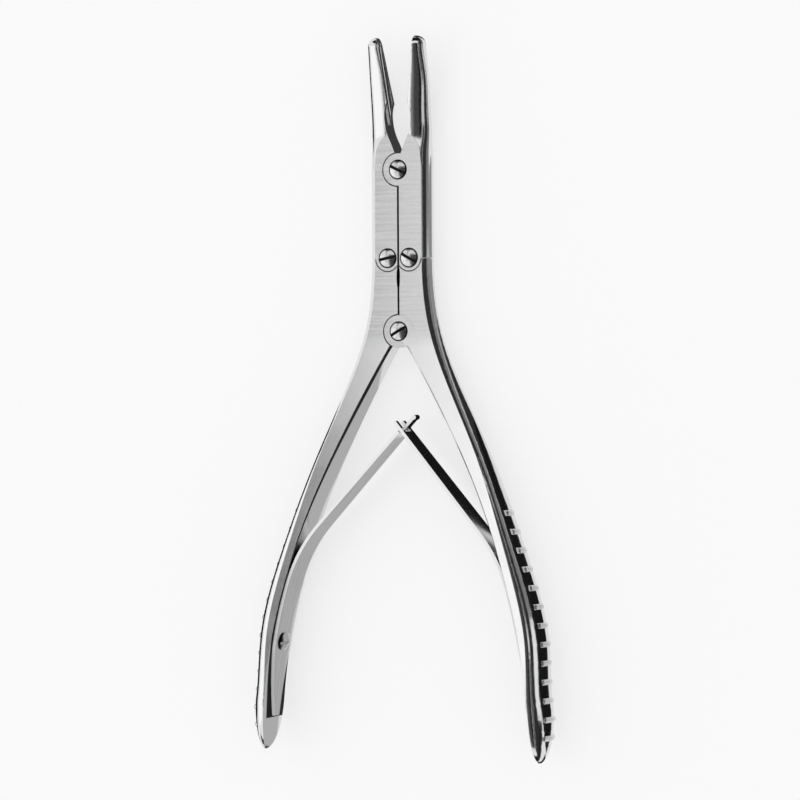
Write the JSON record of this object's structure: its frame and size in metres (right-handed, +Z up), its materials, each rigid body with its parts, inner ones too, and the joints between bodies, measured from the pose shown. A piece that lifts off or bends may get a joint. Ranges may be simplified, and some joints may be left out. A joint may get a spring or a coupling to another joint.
{
  "type": "bone rongeur",
  "caption": "Double-action bone rongeur: two cupped jaws worked by spring-loaded ridged handles through a lapped box joint.",
  "frame": {"origin": "the axis of the handle pivot, where it meets the flat rear face of the box", "axes": "+X to the right jaw and handle, +Y along the instrument to the jaws, +Z out of the front face, where the slotted screw heads are; lying on its back the instrument has +Z up"},
  "size_m": [0.0826, 0.1809, 0.0118],
  "materials": {
    "jaws": "satin stainless steel",
    "handles": "satin stainless steel, flats brushed across",
    "screws": "polished stainless steel",
    "springs": "satin spring steel"
  },
  "bodies": {
    "right_handle": {"right_handle": "handles", "right_spring": "springs", "right_spring_screw": "screws", "right_link_screw": "screws"},
    "left_handle": {"left_handle": "handles", "left_spring": "springs", "left_spring_screw": "screws", "left_link_screw": "screws", "handle_pivot_screw": "screws"},
    "left_jaw": {"left_jaw": "jaws", "jaw_pivot_screw": "screws"},
    "right_jaw": {"right_jaw": "jaws"}
  },
  "joints": [
    {"name": "handle_pivot", "type": "hinge", "parent": "right_handle", "child": "left_handle", "pos_m": [0, 0, 0], "axis": [0, 0, 1], "range_deg": [0, 21.06], "stiffness_Nm_per_rad": 1.5, "deforming": ["left_spring", "right_spring"]},
    {"name": "left_jaw_link", "type": "hinge", "parent": "left_handle", "child": "left_jaw", "pos_m": [-0.00298, 0.01846, 0], "axis": [0, 0, 1], "range_deg": [-19.25, 0]},
    {"name": "right_jaw_link", "type": "hinge", "parent": "right_handle", "child": "right_jaw", "pos_m": [0.00298, 0.01846, 0], "axis": [0, 0, 1], "range_deg": [0, 19.25]}
  ],
  "couplings": [
    {"joint": "left_jaw_link", "follows": "handle_pivot", "ratio": -0.9121},
    {"joint": "right_jaw_link", "follows": "handle_pivot", "ratio": 0.9121}
  ]
}
